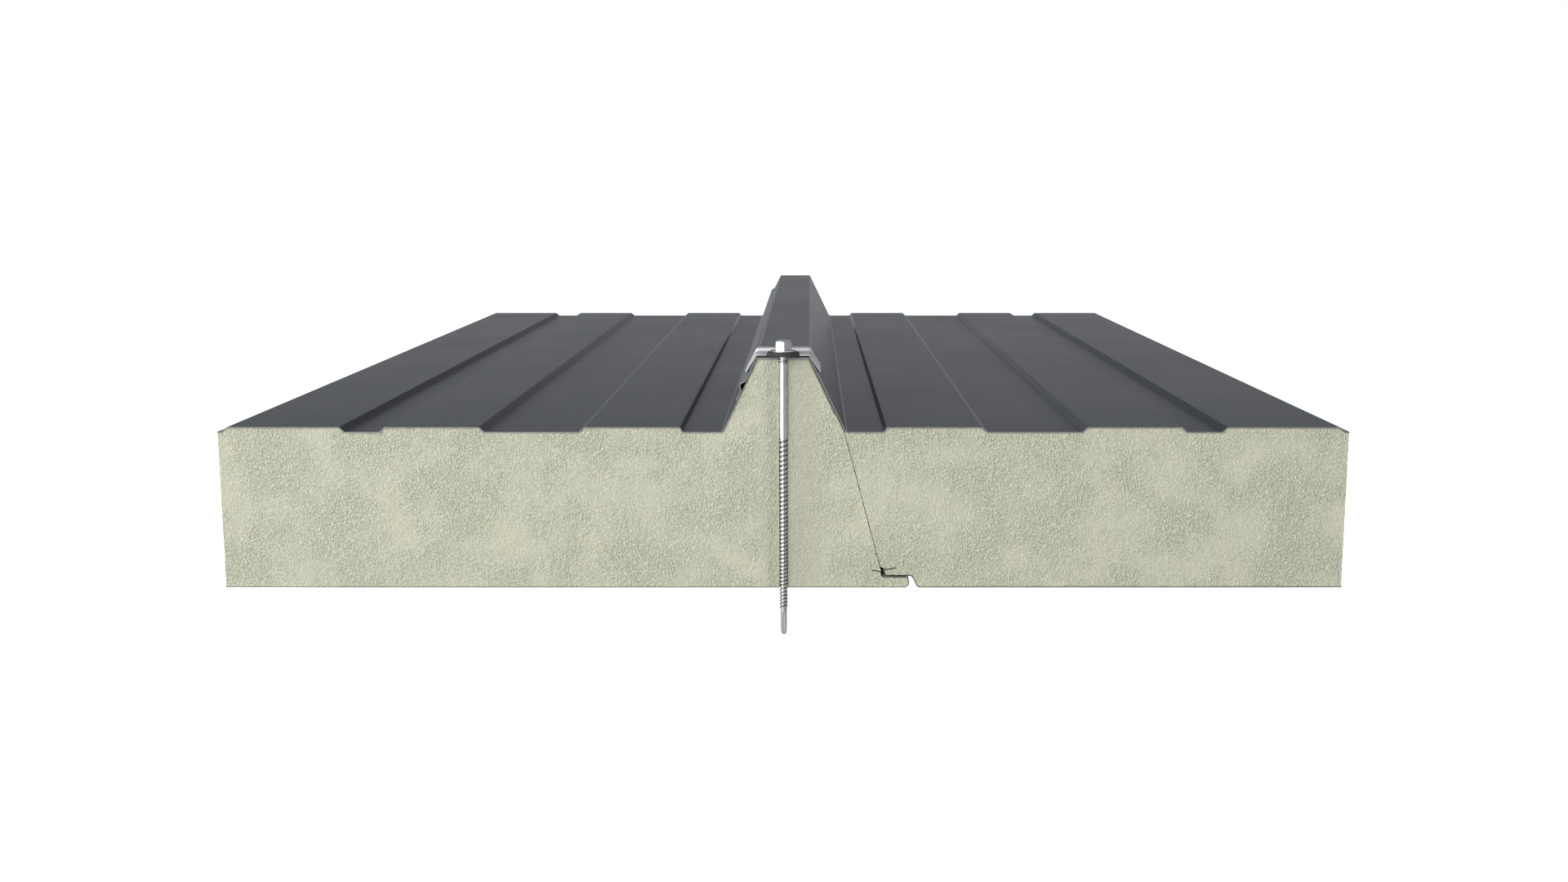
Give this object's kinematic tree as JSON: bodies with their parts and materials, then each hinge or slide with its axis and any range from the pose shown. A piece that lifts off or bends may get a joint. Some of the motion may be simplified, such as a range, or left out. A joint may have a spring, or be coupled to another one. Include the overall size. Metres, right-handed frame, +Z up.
{
  "type": "insulated roof panel joint section",
  "caption": "Sawn sample of an insulated metal roof: foam-cored trapezoid panels lapped over a rib and held by a long self-drilling screw with a saddle washer.",
  "frame": {"origin": "on the screw's axis, in the plane of the liner's underside, at the sawn front face", "axes": "+X across the ribs to the right panel, +Y back along the rib, +Z up to the weather side"},
  "size_m": [0.567, 0.7199, 0.1502],
  "materials": {
    "coated_steel": "dark grey coil-coated sheet, fine matt texture, bare pale edge where sawn",
    "liner_steel": "pale grey coil-coated liner sheet",
    "foam": "pale beige rigid insulation foam, fine sawn grain",
    "black_rubber": "black sealing rubber",
    "saddle_aluminium": "bright pressed aluminium",
    "screw_steel": "bright plated steel"
  },
  "bodies": {
    "root": {"left_outer_sheet": "coated_steel", "left_foam_core": "foam", "left_liner_sheet": "liner_steel", "right_outer_sheet": "coated_steel", "right_foam_core": "foam", "right_liner_sheet": "liner_steel", "saddle_gasket": "black_rubber", "saddle_washer": "saddle_aluminium", "sealing_disc": "black_rubber", "roof_screw": "screw_steel"}
  },
  "joints": []
}
